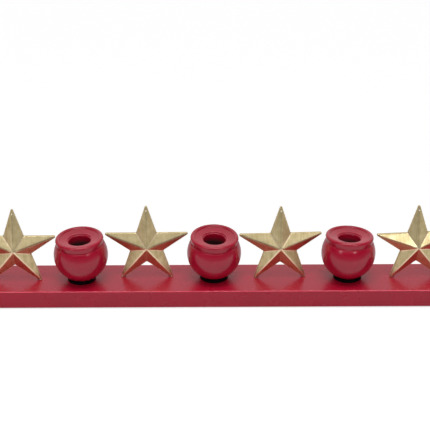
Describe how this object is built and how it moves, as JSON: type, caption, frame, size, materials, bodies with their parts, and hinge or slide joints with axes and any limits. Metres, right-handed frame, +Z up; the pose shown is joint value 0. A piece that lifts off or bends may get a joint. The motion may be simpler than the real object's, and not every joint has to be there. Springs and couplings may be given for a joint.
{
  "type": "advent candle holder",
  "caption": "Long lacquered wooden candle holder with turned ball cups for taper candles between upright pressed metal stars.",
  "frame": {"origin": "on the surface that the holder stands on, under the middle of the board", "axes": "+X along the board, +Y from its front edge to its back edge, +Z up"},
  "size_m": [0.64, 0.058, 0.0981],
  "materials": {
    "lacquered_wood": "satin red lacquer over solid wood",
    "spacer_rubber": "matt black",
    "fastener_steel": "bright",
    "star_metal": "satin champagne gold",
    "pad_felt": "pressed felt"
  },
  "bodies": {
    "root": {"base_board": "lacquered_wood", "candle_cup_1": "lacquered_wood", "candle_cup_2": "lacquered_wood", "candle_cup_3": "lacquered_wood", "candle_cup_4": "lacquered_wood", "cup_spacer_1": "spacer_rubber", "cup_spacer_2": "spacer_rubber", "cup_spacer_3": "spacer_rubber", "cup_spacer_4": "spacer_rubber", "cup_screw_1": "fastener_steel", "cup_screw_2": "fastener_steel", "cup_screw_3": "fastener_steel", "cup_screw_4": "fastener_steel", "star_pins_1": "fastener_steel", "star_pins_2": "fastener_steel", "star_pins_3": "fastener_steel", "star_pins_4": "fastener_steel", "star_pins_5": "fastener_steel", "star_1": "star_metal", "star_2": "star_metal", "star_3": "star_metal", "star_4": "star_metal", "star_5": "star_metal", "felt_pads": "pad_felt"}
  },
  "joints": []
}
